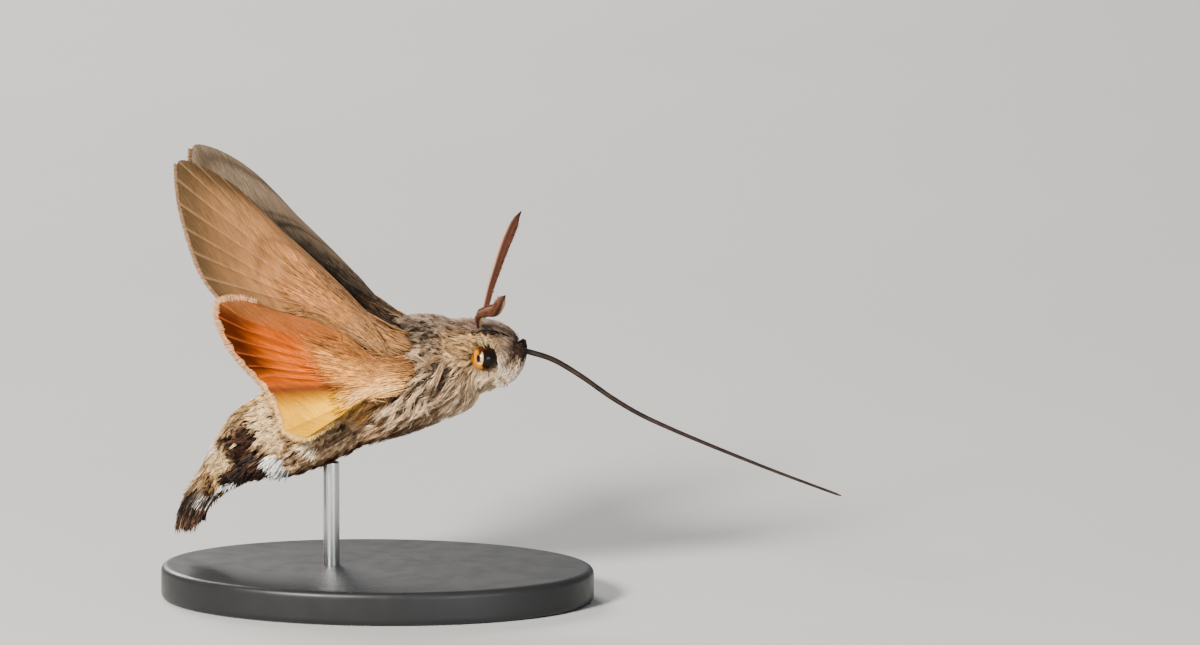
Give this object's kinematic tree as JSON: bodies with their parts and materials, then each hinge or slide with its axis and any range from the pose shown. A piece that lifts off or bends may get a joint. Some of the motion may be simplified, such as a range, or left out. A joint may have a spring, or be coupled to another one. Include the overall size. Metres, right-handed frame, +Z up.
{
  "type": "hummingbird hawk moth",
  "caption": "Life-size still model of a hovering day-flying hawk moth, wings raised and tongue run out, held over an oval base by a short rod.",
  "frame": {"origin": "the middle of the underside of the oval base", "axes": "+Z up, +X the way the moth faces and the tongue runs, +Y the moth's left"},
  "size_m": [0.0504, 0.023, 0.033],
  "materials": {
    "coat": "grey-brown scales and hair with pale tips",
    "dark_coat": "dark brown scales and hair, pale patches",
    "eye": "smooth and glossy",
    "feeler": "rusty brown, matte",
    "tongue": "dark horn, semi-gloss",
    "forewing": "powdery pinkish-brown scales",
    "hindwing": "powdery orange scales",
    "leg": "reddish brown scales",
    "stand_base": "satin dark paint",
    "stand_rod": "satin"
  },
  "bodies": {
    "root": {"head": "coat", "thorax": "coat", "palp_left": "coat", "palp_right": "coat", "abdomen": "dark_coat", "tail_fan": "dark_coat", "eye_left": "eye", "eye_right": "eye", "antenna_left": "feeler", "antenna_right": "feeler", "proboscis": "tongue", "forewing_left": "forewing", "forewing_right": "forewing", "hindwing_left": "hindwing", "hindwing_right": "hindwing", "leg_fore_left": "leg", "leg_fore_right": "leg", "leg_mid_left": "leg", "leg_mid_right": "leg", "leg_hind_left": "leg", "leg_hind_right": "leg", "stand_base": "stand_base", "stand_rod": "stand_rod"}
  },
  "joints": []
}
